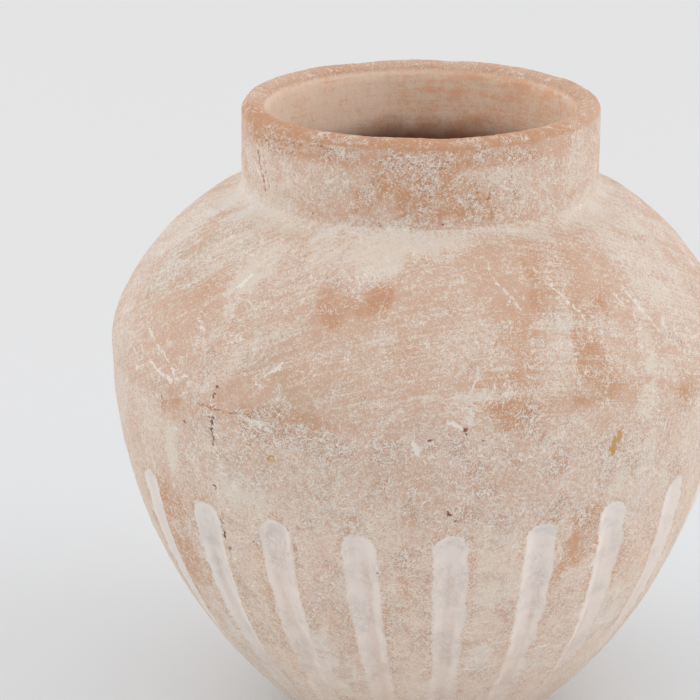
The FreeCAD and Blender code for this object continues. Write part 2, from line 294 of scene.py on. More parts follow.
def store_amounts(mesh, amounts):
    """Keep each amount at the mesh's points. Points on the axis take the first ring's."""
    for key, value in amounts.items():
        missing = len(mesh.vertices) - value.size
        flat = np.concatenate([value.reshape(-1), np.full(missing, value[0, 0])])
        layer = mesh.attributes.new(key, "FLOAT", "POINT")
        layer.data.foreach_set("value", flat.astype(np.float32))


def build(name, outline, replaced, material, hollow=0.0, closed=True):
    """Turn a section once round the axis, sink its skin and store what its material reads."""
    points = np.array(outline.points)
    normals = np.array(outline.normals)
    skin = np.array(outline.skin)[:, None]
    if closed:
        points, normals, skin = points[1:], normals[1:], skin[1:]
    azimuth = np.arange(COLUMNS) * 360 / COLUMNS - 180
    turn, radius = np.meshgrid(azimuth, points[:, 0])
    height = np.repeat(points[:, 1:], COLUMNS, axis=1)
    neck_end = smooth(NECK_R + HOLLOW_REACH, NECK_R + FILLET_REACH, radius)
    depth, inside, stripe = flute_depth(turn, height, radius)
    depth = np.where(height < BELLY_Z, depth, 0)
    sunk = (relief(turn, height) + hollow * neck_end + depth) * skin
    radius = np.maximum(radius - sunk * normals[:, :1], 0)
    z = height - sunk * normals[:, 1:]
    world = np.radians(turn + CAMERA_AZIMUTH)
    places = np.stack([radius * np.cos(world), radius * np.sin(world), z], -1)
    places = places.reshape(-1, 3).tolist()
    if not closed:
        places += [(0, 0, points[0, 1]), (0, 0, points[-1, 1])]
    mesh = bpy.data.meshes.new(name)
    mesh.from_pydata(places, [], ring_faces(len(points), closed))
    mesh.polygons.foreach_set("use_smooth", np.ones(len(mesh.polygons), bool))
    facing = np.repeat(normals[:, :1], COLUMNS, axis=1)
    amounts = masses(turn, height, radius, facing, inside)
    amounts["stripe"] = stripe
    store_amounts(mesh, amounts)
    mesh.update()
    mesh.set_sharp_from_angle(angle=math.radians(SHARP_ANGLE))
    piece = bpy.data.objects.new(name, mesh)
    bpy.context.scene.collection.objects.link(piece)
    mesh.materials.append(material)
    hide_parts(replaced)
    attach(piece, "root")


def lower_section():
    """Section of the fluted wall from the dish to the belly."""
    inner_r = lower_r - WALL
    low = lower_angle(lower_r, DISH_Z)
    line = Outline()
    line.line(on_circle(lower_centre, inner_r, low), on_circle(lower_centre, lower_r, low),
              COARSE_STEP)
    line.arc(lower_centre, lower_r, low, 0, STEP, 1.0)
    line.line((BELLY_R, BELLY_Z), (BELLY_R - WALL, BELLY_Z), COARSE_STEP)
    line.arc(lower_centre, inner_r, 0, low, COARSE_STEP, 0.0, True)
    return line


def dish_section():
    """Section of the floor slab with its upturned rim."""
    inner_r = lower_r - WALL
    foot = lower_angle(lower_r, 0)
    low = lower_angle(lower_r, DISH_Z)
    floor = lower_angle(inner_r, FLOOR_THICK)
    line = Outline()
    line.line((FLOOR_FAN_R, 0), (FOOT_R, 0), COARSE_STEP)
    line.arc(lower_centre, lower_r, foot, low, STEP, 1.0)
    line.line(on_circle(lower_centre, lower_r, low), on_circle(lower_centre, inner_r, low),
              COARSE_STEP)
    line.arc(lower_centre, inner_r, low, floor, STEP, 0.0, True)
    line.line(on_circle(lower_centre, inner_r, floor), (FLOOR_FAN_R, FLOOR_THICK), COARSE_STEP)
    return line


def shoulder_section():
    """Section of the upper half of the body."""
    seat_angle = angle_at(shoulder_centre, (seat_edge, SEAT_Z))
    neck_in = NECK_R - NECK_WALL
    inner_end = (neck_in, SEAT_Z - SHOULDER_DEPTH)
    inner_turn = TURN_R - WALL
    leave = on_circle(turn_centre, inner_turn, turn_angle)
    run, rise = leave[0] - inner_end[0], inner_end[1] - leave[1]
    inner_r = (run ** 2 + rise ** 2) / 2 / (run * math.cos(turn_angle)
                                            - rise * math.sin(turn_angle))
    inner_centre = on_circle(leave, -inner_r, turn_angle)
    line = Outline()
    line.line((BELLY_R - WALL, BELLY_Z), (BELLY_R, BELLY_Z), COARSE_STEP)
    line.arc(turn_centre, TURN_R, 0, turn_angle, FINE_STEP, 1.0)
    line.arc(shoulder_centre, SHOULDER_R, turn_angle, seat_angle, FINE_STEP, 1.0)
    line.line((seat_edge, SEAT_Z), (neck_in, SEAT_Z), COARSE_STEP)
    line.line((neck_in, SEAT_Z), inner_end, COARSE_STEP)
    line.arc(inner_centre, inner_r, angle_at(inner_centre, inner_end), turn_angle,
             COARSE_STEP / 2, 0.0, True)
    line.arc(turn_centre, inner_turn, turn_angle, 0, COARSE_STEP / 2, 0.0, True)
    return line


def collar_section():
    """Section of the straight neck."""
    inner = NECK_R - NECK_WALL
    line = Outline()
    line.line((inner, SEAT_Z), (NECK_R, SEAT_Z), COARSE_STEP)
    line.line((NECK_R, SEAT_Z), (NECK_R, LIP_Z), FINE_STEP, 1.0)
    line.line((NECK_R, LIP_Z), (inner, LIP_Z), COARSE_STEP)
    line.line((inner, LIP_Z), (inner, SEAT_Z), FINE_STEP * 1.5, INSIDE_SKIN)
    return line


def lip_section():
    """Section of the rounded lip: a tight outer edge and a softer inner one."""
    inner = NECK_R - NECK_WALL
    inner_round = NECK_WALL - LIP_ROUND
    round_step = FINE_STEP * 0.6
    line = Outline()
    line.line((inner, LIP_Z), (NECK_R, LIP_Z), COARSE_STEP)
    line.line((NECK_R, LIP_Z), (NECK_R, TOP_Z - LIP_ROUND), FINE_STEP, 1.0)
    line.arc((NECK_R - LIP_ROUND, TOP_Z - LIP_ROUND), LIP_ROUND, 0, math.pi / 2,
             round_step, 1.0)
    line.arc((inner + inner_round, TOP_Z - inner_round), inner_round, math.pi / 2, math.pi,
             round_step, 1.0)
    line.line((inner, TOP_Z - inner_round), (inner, LIP_Z), FINE_STEP, INSIDE_SKIN)
    return line


def coil_section():
    """Section of the slip coil that fills the corner between shoulder and neck."""
    start = angle_at(shoulder_centre, (seat_edge, SEAT_Z))
    leave_r = NECK_R + FILLET_REACH
    leave = math.acos((leave_r - shoulder_centre[0]) / SHOULDER_R)
    foot = (leave_r, shoulder_centre[1] + SHOULDER_R * math.sin(leave))
    reach = leave_r - NECK_R - FILLET_CORNER
    corner = (leave_r - reach, foot[1] + reach / math.tan(leave))
    end = (NECK_R - FILLET_TUCK, SEAT_Z + FILLET_RISE)
    line = Outline()
    line.line((end[0], SEAT_Z), (seat_edge, SEAT_Z), COARSE_STEP)
    line.arc(shoulder_centre, SHOULDER_R, start, leave, FINE_STEP, 1.0)
    for share in np.linspace(0, 1, FILLET_POINTS)[1:]:
        rest = 1 - share
        way = [2 * rest * (b - a) + 2 * share * (c - b) for a, b, c in zip(foot, corner, end)]
        point = tuple(rest ** 2 * a + 2 * rest * share * b + share ** 2 * c
                      for a, b, c in zip(foot, corner, end))
        length = math.hypot(*way)
        line.add(point, (way[1] / length, -way[0] / length), 1 - FILLET_SKIN_LOSS * share)
    line.line(end, (end[0], SEAT_Z), COARSE_STEP)
    return line


# Patches: azimuth, height, half length and half breadth in mm, tilt, amount
LIME_SPOTS = (
    (-10, 257, 30, 7, 4, 0.7), (-41, 243, 15, 8, 70, 0.7), (-37, 209, 30, 6, 42, 0.4),
    (28, 226, 38, 9, 66, 0.35), (11, 205, 30, 1.8, 0, 0.5), (48.5, 221, 19, 5, 75, 0.5),
    (45, 191, 9, 6, 80, 0.6), (45.5, 168, 12, 5, 80, 0.5), (-64, 244, 40, 16, 45, 0.1),
    (-8, 215, 52, 28, 0, -0.12), (-29, 203, 26, 13, 15, -0.32), (2, 262, 26, 5, 0, 0.35),
    (47, 84, 12, 10, 0, 0.5), (15, 112, 12, 24, 0, 0.3), (62, 235, 40, 24, 90, 0.35),
    (31.5, 127, 14, 8, 80, -0.5), (-33, 151, 16, 9, 0, 0.5), (-22, 58, 11, 11, 0, 0.9),
    (1, 45, 7, 7, 0, 0.6), (-50.5, 160, 14, 3.5, 80, 0.8), (-41, 171, 4, 2.5, 0, 0.8),
    (30, 281, 16, 12, 0, 0.45), (-58, 283, 18, 13, 0, 0.38), (-33, 283, 22, 10, 0, 0.3),
    (150, 230, 60, 30, 20, 0.4), (-120, 200, 50, 30, -20, 0.3), (100, 150, 50, 30, 30, 0.3))
WARM_SPOTS = (
    (34, 244, 24, 17, 60, 0.4), (35, 222, 20, 10, 80, 0.3), (20, 215, 36, 24, 60, 0.25),
    (17, 193, 30, 8, 0, 0.4), (31.5, 127, 20, 10, 80, 1.6), (-2.3, 116, 22, 6, 90, 0.6),
    (-6.6, 88, 26, 2.2, 88, 0.8), (10.2, 110, 18, 2.6, 90, 0.7), (-17.5, 98, 30, 3, 90, 0.35),
    (26, 147, 10, 4, 60, 0.5), (-60, 301, 22, 7, 0, 0.3), (62, 301, 22, 7, 0, 0.25),
    (-55, 106, 40, 13, 86, 0.75), (-25, 184, 24, 7, 0, 0.35), (33, 205, 16, 12, 0, 0.5),
    (-15, 240, 17, 9, 0, 0.7), (58, 193, 16, 16, 0, 0.5), (-18, 192, 34, 4.5, 0, 0.5),
    (-50, 182, 12, 6, 0, 0.5), (3, 281, 32, 15, 0, 1.0), (24, 277, 9, 7, 0, 0.3),
    (-53, 226, 20, 9, 45, 0.2), (-50, 190, 10, 6, 0, 0.4), (-5, 150, 18, 8, 0, 0.2),
    (170, 200, 40, 20, 10, 0.4), (-150, 130, 50, 14, 80, 0.4), (110, 240, 30, 14, 30, 0.4))
GREY_SPOTS = (
    (-25, 186, 26, 8, 0, 0.3), (-22, 203, 24, 9, 0, 0.5), (-31, 215, 22, 10, 20, 0.6),
    (-62, 242, 34, 15, 45, 0.9), (32, 204, 22, 15, 30, 0.35), (-37, 172, 15, 12, 0, 0.6),
    (-18, 168, 42, 12, 0, 0.5), (63, 284, 10, 12, 0, 0.2), (4, 276, 18, 4, 0, 0.4),
    (140, 180, 40, 30, 0, 0.4), (-100, 240, 30, 20, 0, 0.4))
VEIL_SPOTS = (
    (-10, 266, 44, 6, 0, 0.45), (-82, 238, 52, 30, 0, 0.5), (-74, 264, 20, 8, 0, 0.35),
    (84, 259, 24, 9, 0, 0.5), (-21, 60, 12, 16, 0, 0.9), (14, 66, 9, 12, 0, 0.7),
    (48, 80, 12, 12, 0, 0.7), (30, 60, 10, 12, 0, 0.6), (-48, 60, 12, 14, 0, 0.5),
    (175, 235, 50, 26, 0, 0.5))
WORM_SPOTS = (
    (-24, 182, 34, 7, 0, 1.2), (-29, 187, 14, 8, 0, 0.4), (38, 172, 16, 14, 0, 0.5),
    (3, 285, 24, 13, 0, 0.35), (-5, 90, 60, 26, 0, 0.2), (12, 185, 40, 8, 0, 0.35),
    (0, 120, 150, 30, 0, 0.15), (-25, 60, 30, 14, 0, 0.3))
# How their outlines fray: share, grain in mm and seed, and where they fade out
PATCH_WARP = ((0.22, 22, 41), (0.12, 8, 42))
PATCH_FADE = (1.45, 0.35)

# Where the wash changes, each from where it is 0 to where it is 1. Heights:
BELOW_BELLY = (BELLY_Z + 4 * MM, BELLY_Z - 12 * MM)
LOW_WALL = (160 * MM, 110 * MM)
LOWEST_WALL = (80 * MM, 45 * MM)
LAND_TOP = (148 * MM, 125 * MM)
LAND_FOOT = (62 * MM, 88 * MM)
ROSY_HEIGHT = (152 * MM, 120 * MM)
CHALK_NARROWS = (110 * MM, 45 * MM)
UP_THE_NECK = (SEAT_Z + 3 * MM, SEAT_Z + 9 * MM)
COLLAR_FOOT = (SEAT_Z + 14 * MM, SEAT_Z + 5 * MM)
LIP_BAND = (LIP_Z - 7 * MM, LIP_Z - 2 * MM)
LIP_TOP = (TOP_Z - 5.5 * MM, TOP_Z - 3.5 * MM)
RIM_LINE = (TOP_Z - 4 * MM, TOP_Z - 2.6 * MM)
# Radii:
ROUND_THE_NECK = (NECK_R + 15 * MM, NECK_R + 3 * MM)
LIP_FACE = (NECK_R - 6 * MM, NECK_R - 2 * MM)
LIP_CREST_WEAR_AND_HIGHLIGHT = (NECK_R - 6.5 * MM, NECK_R - 8 * MM)
RIM_FACE = (NECK_R - 7.5 * MM, NECK_R - 6 * MM)
# Distances inside a flute's edge, from the land and from the flute, of the warmer band along it,
# partly bare clay and partly painted shade:
EDGE_CLAY_AND_SHADE_OUT = (-6 * MM, -1.5 * MM)
EDGE_CLAY_AND_SHADE_IN = (1 * MM, -1 * MM)
# Azimuths, those of the front and of the mouth's palest inside counted from a middle:
FRONT_MIDDLE = -14
FRONT = (75, 45)
BESIDE = (25, 55)
# Azimuths over which the wash is made paler towards both sides: painted side light
SIDES_PAINTED_LIGHT = (50, 80)
PALE_MIDDLE = -130
PALE = (70, 20)
ROSY_LEFT = (-48, -28)
ROSY_RIGHT = (110, 80)
CLEAR_LEFT = (-40, -58)
CLEAR_BACK = (-120, -100)

# Amount of a wash where none was brushed
BARE = -0.4


def patch(azimuth, height, radius, spots):
    """Soft ragged patches: the sum of a table's amounts at each point."""
    warp = sum(share * wobble(azimuth, height, grain * MM, seed)
               for share, grain, seed in PATCH_WARP)
    total = np.zeros_like(azimuth)
    for place, level, length, breadth, tilt, amount in spots:
        u = np.radians(wrapped(azimuth - place)) * radius / MM
        v = height / MM - level
        c, s = math.cos(math.radians(tilt)), math.sin(math.radians(tilt))
        away = np.hypot((u * c + v * s) / length, (v * c - u * s) / breadth)
        total += amount * smooth(*PATCH_FADE, away + warp)
    return total


def lip_zones(azimuth, height, radius, collar):
    """The lip's top, the band under it, its crest, pale from wear and from a painted highlight,
    and the line along its outer edge.
    """
    front = smooth(*FRONT, np.abs(azimuth - FRONT_MIDDLE))
    top = smooth(*LIP_TOP, height) * collar
    band = smooth(*LIP_BAND, height) * front * smooth(*LIP_FACE, radius) * collar
    # Pale crest along the lip's front inner edge: worn edge and painted highlight
    crest = smooth(*LIP_CREST_WEAR_AND_HIGHLIGHT, radius) * top * front
    line = smooth(*RIM_LINE, height) * smooth(*RIM_FACE, radius) * collar * front
    return top, band, crest, line


def masses(azimuth, height, radius, facing, inside):
    """What the clay's material reads at each point: amounts of wash, bare clay and so on."""
    here = (azimuth, height, radius)
    hidden = (facing <= 0) & (height < SEAT_Z - SHOULDER_DEPTH)
    inside = np.where(hidden | (height > BELLY_Z), FAR_OUTSIDE, inside)
    inner = smooth(-0.8, -1, facing) * (height > BELLY_Z)
    collar = (radius < NECK_R + 0.1 * MM) & (height > SEAT_Z)
    lip_top, lip_band, crest, rim_line = lip_zones(*here, collar)
    below = smooth(*BELOW_BELLY, height)
    neck = smooth(*UP_THE_NECK, height)
    foot = smooth(*ROUND_THE_NECK, radius) * (height > SEAT_Z - 6 * MM)
    collar_foot = smooth(*COLLAR_FOOT, height) * smooth(*BESIDE, np.abs(azimuth))
    foot = np.where(collar, collar_foot, foot)
    low = smooth(*LOW_WALL, height) + smooth(*LOWEST_WALL, height)
    bare = patch(*here, WARM_SPOTS)

    lime = 0.34 + 0.09 * wobble(azimuth, height, 60 * MM, 21) + patch(*here, LIME_SPOTS)
    # Painted side light: the wash is made paler towards both sides seen from the camera
    lime = lime + 0.15 * smooth(*SIDES_PAINTED_LIGHT, np.abs(azimuth))
    lime = lime + 0.45 * foot + 0.17 * below + 0.2 * low - 0.45 * bare
    # Worn edge and painted highlight: the lip's front crest is made paler
    lime = lime - 0.4 * lip_top - 0.5 * rim_line + 0.6 * crest - 0.75 * lip_band
    pale = smooth(*PALE, np.abs(wrapped(azimuth - PALE_MIDDLE))) * 0.3 - 0.05
    lime = np.where(inner > 0.5, pale, lime)

    edge = smooth(*EDGE_CLAY_AND_SHADE_OUT, inside) * smooth(*EDGE_CLAY_AND_SHADE_IN, inside)
    land = smooth(*LAND_TOP, height) * smooth(*LAND_FOOT, height)
    warm = 0.12 * wobble(azimuth, height, 45 * MM, 23, 1.4) + bare + 0.16 * land
    # Along the flutes' edges the clay is made warmer and darker: partly bare clay, partly painted
    # shade where the land dips into the flute
    warm = warm + 0.8 * edge + 0.35 * lip_top + 0.35 * rim_line + 0.5 * lip_band

    worm = 0.08 + 0.24 * below + 0.5 * lip_band + 0.12 * wobble(azimuth, height, 30 * MM, 24)
    worm = worm + patch(*here, WORM_SPOTS) - 0.6 * lip_top + 0.35 * rim_line - foot
    clear = below * smooth(*CLEAR_LEFT, azimuth) * smooth(*CLEAR_BACK, azimuth)
    worm = worm - 0.35 * clear

    rosy = smooth(*ROSY_HEIGHT, height) * smooth(*ROSY_LEFT, azimuth)
    return {"lime": np.where(hidden, BARE, lime),
            "warm": warm,
            "grey": patch(*here, GREY_SPOTS),
            "worm": np.where(hidden, BARE, worm),
            "veil": np.where(hidden, BARE, patch(*here, VEIL_SPOTS)),
            "rosy": rosy * smooth(*ROSY_RIGHT, azimuth),
            "stroke": (1 - below) * (1 - 0.6 * neck) * (1 - 0.8 * lip_top),
            "chalk": inside / MM - 1.1 * smooth(*CHALK_NARROWS, height),
            "inner": inner}


class Recipe:
    """Short names for making the nodes of a material or of the world."""

    def __init__(self, owner):
        owner.use_nodes = True
        self.owner = owner
        self.tree = owner.node_tree

    def put(self, socket, value):
        if isinstance(value, bpy.types.NodeSocket):
            self.tree.links.new(value, socket)
        else:
            socket.default_value = value

    def node(self, kind, out=0, **inputs):
        made = self.tree.nodes.new(kind)
        for key, value in inputs.items():
            self.put(made.inputs[key.replace("_", " ")], value)
        return made.outputs[out]

    def place(self, kind="Object"):
        return self.tree.nodes.new("ShaderNodeTexCoord").outputs[kind]

    def split(self, vector):
        made = self.tree.nodes.new("ShaderNodeSeparateXYZ")
        self.put(made.inputs[0], vector)
        return made.outputs

    def math(self, operation, first, second=0.0):
        made = self.tree.nodes.new("ShaderNodeMath")
        made.operation = operation
        self.put(made.inputs[0], first)
        self.put(made.inputs[1], second)
        return made.outputs[0]

    def product(self, first, second):
        return self.math("MULTIPLY", first, second)

    def ramp(self, value, low, high, bottom=0.0, top=1.0):
        made = self.tree.nodes.new("ShaderNodeMapRange")
        made.interpolation_type = "SMOOTHSTEP"
        for socket, item in zip(made.inputs, (value, low, high, bottom, top)):
            self.put(socket, item)
        return made.outputs[0]

    def read(self, name):
        made = self.tree.nodes.new("ShaderNodeAttribute")
        made.attribute_name = name
        return made.outputs["Fac"]

    def noise(self, vector, scale, detail, distortion=0.0, roughness=0.5):
        return self.node("ShaderNodeTexNoise", 0, Vector=vector, Scale=scale, Detail=detail,
                         Distortion=distortion, Roughness=roughness)

    def uneven(self, vector, *sizes):
        """A noise about 0."""
        return self.math("SUBTRACT", self.noise(vector, *sizes), 0.5)

    def lines(self, vector, sizes, outer, inner):
        """Thin lines where a noise crosses its middle: 0 from outer off it, 1 at inner."""
        return self.ramp(self.math("ABSOLUTE", self.uneven(vector, *sizes)), outer, inner)

    def blend(self, amount, first, second):
        made = self.tree.nodes.new("ShaderNodeMix")
        made.data_type = "RGBA"
        self.put(made.inputs["Factor"], amount)
        self.put(made.inputs["A"], first)
        self.put(made.inputs["B"], second)
        return made.outputs["Result"]

    def total(self, start, *parts):
        """start plus each value times its weight."""
        for value, weight in parts:
            start = self.math("ADD", start, self.product(value, weight))
        return start

    def vector(self, operation, first, second=None, out=0, scale=None):
        made = self.tree.nodes.new("ShaderNodeVectorMath")
        made.operation = operation
        self.put(made.inputs[0], first)
        if second is not None:
            self.put(made.inputs[1], second)
        if scale is not None:
            self.put(made.inputs["Scale"], scale)
        return made.outputs[out]

    def stretched(self, x, y, z, across, up):
        """Coordinates for a noise: x and y times across, z times up."""
        return self.node("ShaderNodeCombineXYZ", 0, X=self.product(x, across),
                         Y=self.product(y, across), Z=self.product(z, up))

    def surface(self, colour, roughness, gloss):
        """Set the shader of a material, and give the material."""
        shader = self.tree.nodes["Principled BSDF"]
        self.put(shader.inputs["Base Color"], colour)
        self.put(shader.inputs["Roughness"], roughness)
        self.put(shader.inputs["Specular IOR Level"], gloss)
        return self.owner

    def bump(self, height, strength, distance):
        shader = self.tree.nodes["Principled BSDF"]
        bump = self.node("ShaderNodeBump", 0, Strength=strength, Distance=distance,
                         Height=height)
        self.put(shader.inputs["Normal"], bump)


def srgb(red, green, blue):
    """A colour as seen on a screen, 0 to 255, as a shader takes it."""
    def linear(part):
        part = part / 255
        return part / 12.92 if part <= 0.04045 else ((part + 0.055) / 1.055) ** 2.4
    return (linear(red), linear(green), linear(blue), 1.0)


# Floor colours: the near and far ends of a painted falloff, and a painted pool of light at the
# near right
FLOOR_NEAR = srgb(229, 232, 235)
FLOOR_FAR = srgb(230, 230, 231)
FLOOR_RIGHT_PAINTED_LIGHT = srgb(235, 241, 246)
CLAY = srgb(212, 176, 153)
BARE_CLAY = srgb(201, 152, 119)
WORN_CLAY = srgb(194, 134, 97)
GREY_CLAY = srgb(200, 172, 149)
LIME = srgb(226, 212, 198)
WHITE = srgb(242, 234, 224)
VEIL = srgb(227, 220, 212)
CHALK = srgb(236, 227, 222)
CHALK_BEIGE = srgb(227, 210, 199)
CHALK_EDGE_HIGHLIGHT = srgb(242, 233, 224)
ROSY = srgb(255, 218, 190)
INSIDE = srgb(252, 200, 165)
INSIDE_PALE = srgb(255, 230, 208)
# Painted shade deep inside the mouth
INSIDE_PAINTED_SHADE = srgb(98, 50, 30)
PIT = srgb(122, 74, 62)
# Rust colour, also used for the painted shade of the groove under the lip
RUST_AND_GROOVE_SHADE = srgb(172, 118, 84)
OCHRE = srgb(205, 152, 78)
HIDDEN_DARK = srgb(176, 134, 106)
HIDDEN_PALE = srgb(204, 172, 150)

# Marks of each colour: azimuth and height of both ends, half breadth in mm
DARK_MARKS = (
    (-39.1, 184.8, -39.2, 172.5, 0.6), (-40.5, 185.5, -39.1, 184.8, 0.25),
    (-39.7, 153, -39.5, 148, 0.5), (-39.2, 132.5, -39.2, 131, 0.4),
    (-39.1, 125.6, -39.1, 124, 0.4), (-38.9, 118.5, -38.9, 117.2, 0.4),
    (-53, 186, -52.6, 181, 0.5), (-36.1, 272.3, -35, 268.8, 0.5),
    (8.5, 190.1, 8.5, 190.1, 1.0), (4.9, 189, 4.9, 189, 0.5), (2, 187.2, 2, 187.2, 0.5),
    (11.4, 185, 11.4, 185, 0.5), (5.3, 150.4, 5.8, 149, 0.7), (6.8, 147, 6.8, 146.4, 0.6),
    (2.8, 149.8, 2.8, 149.8, 0.5), (-53, 188, -52.6, 185.4, 0.6),
    (-51.5, 182.6, -51.1, 181, 0.6), (-46, 178, -45, 177, 0.5),
    (-38, 199, -38.1, 198.2, 0.45), (-38.3, 195.4, -38.4, 194.6, 0.45),
    (-38.6, 191.6, -38.9, 190.6, 0.4), (-40.2, 152.4, -39.4, 147.2, 0.55),
    (22.4, 134.6, 23.2, 133.2, 0.6), (5.1, 148.8, 6, 148.5, 0.6),
    (57.2, 128.1, 57.2, 128.1, 0.7), (43.5, 193.3, 43.5, 193.3, 0.5),
    (46.4, 197.2, 46.4, 197.2, 0.5), (-9.3, 119.2, -7.5, 117, 0.7),
    (24.2, 132.7, 26, 131.5, 0.6), (-32.4, 125.3, -32.4, 125.3, 0.5),
    (-29.1, 130.3, -29.1, 130.3, 0.5), (-12.2, 267.5, -12.2, 267.5, 0.6),
    (7, 268.5, 7, 268.5, 0.5), (-30, 159, -30, 159, 0.6))
RUST_AND_GROOVE_SHADE_MARKS = (
    # The first two draw a dark line under the lip at the left: painted shade of a faint groove
    (-67.6, 296.1, -43.8, 300.2, 0.4), (-43.8, 300.2, -26.9, 300.8, 0.35),
    (-62, 290.8, -57.5, 273.1, 0.6), (-58.5, 289, -55.5, 275, 0.4),
    (-43, 189.3, -30, 189, 0.5), (29.2, 288.6, 30, 279, 0.3), (20.5, 289, 22.5, 283, 0.35),
    (22.5, 283, 20.5, 277, 0.35), (18, 287, 17.6, 279, 0.3))
OCHRE_MARKS = (
    (37.6, 178, 36.0, 169.5, 1.7), (39.4, 185, 37.6, 178, 0.9),
    (-26.4, 171.9, -26.2, 170.5, 1.1))
WHITE_MARKS = (
    (-62, 193, -57, 199, 0.7), (-57, 199, -50, 195.5, 0.8), (-50, 195.5, -45.5, 200, 0.6),
    (-47, 190, -45, 197, 0.45), (52.5, 218, 48.6, 236.5, 0.5), (5.5, 194, 7.5, 191.5, 1.0),
    (-1, 184, 0, 180.5, 1.3), (-42, 240, -41, 244, 1.5), (9, 69.4, 19.8, 75.7, 0.45),
    (9.9, 57.7, 19, 58.8, 0.45), (26.7, 64.3, 29.3, 67.6, 0.4), (29.3, 67.6, 35.7, 64, 0.45),
    (40.4, 74.1, 52.3, 68.5, 0.45), (-1.2, 54.2, 2.4, 59.9, 0.4),
    (-28.5, 208.8, -25.5, 214, 0.6), (-62, 212, -52, 204, 0.6), (-52, 204, -49, 199, 0.6),
    (-48, 224, -44, 218, 0.6), (17, 250, 21, 238, 0.5), (30, 245, 38, 222, 0.5),
    (12, 218, 9, 208, 0.5), (-60, 277, -64, 284, 0.5), (19.5, 290, 23, 281, 0.4),
    (36.5, 113, 36.5, 111.5, 0.9), (-33, 189, -27, 186, 1.0),
    (-150, 305.6, -146, 305.6, 1.2), (-144, 305.2, -143, 305.2, 0.9))
# The marks in the order they are laid: table, colour, cover, raggedness
MARKS = ((WHITE_MARKS, WHITE, 0.85, 1.0), (RUST_AND_GROOVE_SHADE_MARKS, RUST_AND_GROOVE_SHADE, 0.8, 0.7),
         (OCHRE_MARKS, OCHRE, 0.8, 1.0), (DARK_MARKS, PIT, 0.9, 0.7))
# Longest turn of one piece of a mark in degrees, and the shortest that isn't a dot in mm
STROKE_TURN = 7.0
STROKE_DOT = 0.5
# How far a mark's outline fades beyond and within its half breadth, and wanders, in mm
STROKE_OUT = 0.35
STROKE_IN = 0.3
STROKE_WARP = 7.0

# Noises of the clay: scale per mm, detail, distortion, roughness
CLOUD = (0.03, 4.0, 0.3)
BLOTCH = (0.12, 4.0, 0.5, 0.6)
CRUMB = (0.55, 3.0, 0.4, 0.6)
GRAIN = (1.5, 2.0, 0.2, 0.7)
WHERE = (0.1, 2.0)
FINE_RIDGE = (0.36, 3.0, 1.1, 0.6)
BROAD_RIDGE = (0.17, 4.0, 0.8, 0.65)
VEIN = (0.06, 4.0, 0.7, 0.65)
# Noises in coordinates that are drawn out round the jar
BRUSH_LINES = (1.0, 4.0, 0.1, 0.65)
BRUSH_SWEEP = (1.0, 3.0, 0.3, 0.6)
LEVEL_CRACK = (1.0, 4.0, 0.6, 0.65)
STREAK = (1.0, 3.0)
ARCS = (1.0, 4.0, 0.4, 0.6)
# How far the brush lines climb to the side and to the front, in mm
BRUSH_LIFT_SIDE = 20.0
BRUSH_LIFT_FRONT = 75.0
# Heights in mm between which painted shade darkens the mouth's inside and the chalk thins out
MOUTH_SHADE_HEIGHTS = (284.0, 265.5)
CHALK_THINS = (30.0, 85.0)


def skin_point(azimuth, height):
    """Point on the true outer curve at an azimuth and a height in mm."""
    z = height * MM
    if z < BELLY_Z:
        centre, curve = lower_centre, lower_r
    elif z < BELLY_Z + TURN_RISE:
        centre, curve = turn_centre, TURN_R
    else:
        centre, curve = shoulder_centre, SHOULDER_R
    radius = NECK_R
    if z < SEAT_Z + 3 * MM:
        radius = centre[0] + math.sqrt(curve ** 2 - (z - centre[1]) ** 2)
    turn = math.radians(azimuth + CAMERA_AZIMUTH)
    return Vector((radius * math.cos(turn), radius * math.sin(turn), z)) / MM


def short_strokes(marks):
    """Ends of each mark's pieces, short enough to follow the round wall."""
    for first, low_z, second, high_z, half in marks:
        count = max(1, math.ceil(abs(second - first) / STROKE_TURN))
        ends = [skin_point(first + (second - first) * i / count,
                           low_z + (high_z - low_z) * i / count) for i in range(count + 1)]
        for start, end in zip(ends, ends[1:]):
            yield start, end, half


def marked(r, spot, ragged, marks):
    """How much of a mark covers each point: the nearest of a list of short strokes."""
    warp = r.node("ShaderNodeTexNoise", 1, Vector=spot, Scale=0.22, Detail=3.0, Roughness=0.6)
    warp = r.vector("SUBTRACT", warp, Vector((0.5, 0.5, 0.5)))
    spot = r.vector("ADD", spot, r.vector("SCALE", warp, scale=STROKE_WARP))
    total = None
    for start, end, half in short_strokes(marks):
        middle, span = (start + end) / 2, end - start
        offset = r.vector("SUBTRACT", spot, middle)
        if span.length > STROKE_DOT:
            along = r.vector("DOT_PRODUCT", offset, span.normalized(), 1)
            along = r.math("MAXIMUM", r.math("MINIMUM", along, span.length / 2),
                           -span.length / 2)
            nearest = r.vector("SCALE", span.normalized(), scale=along)
            offset = r.vector("SUBTRACT", offset, nearest)
        away = r.math("ADD", r.vector("LENGTH", offset, out=1), ragged)
        cover = r.ramp(away, half + STROKE_OUT, half - STROKE_IN)
        total = cover if total is None else r.math("MAXIMUM", total, cover)
    return total


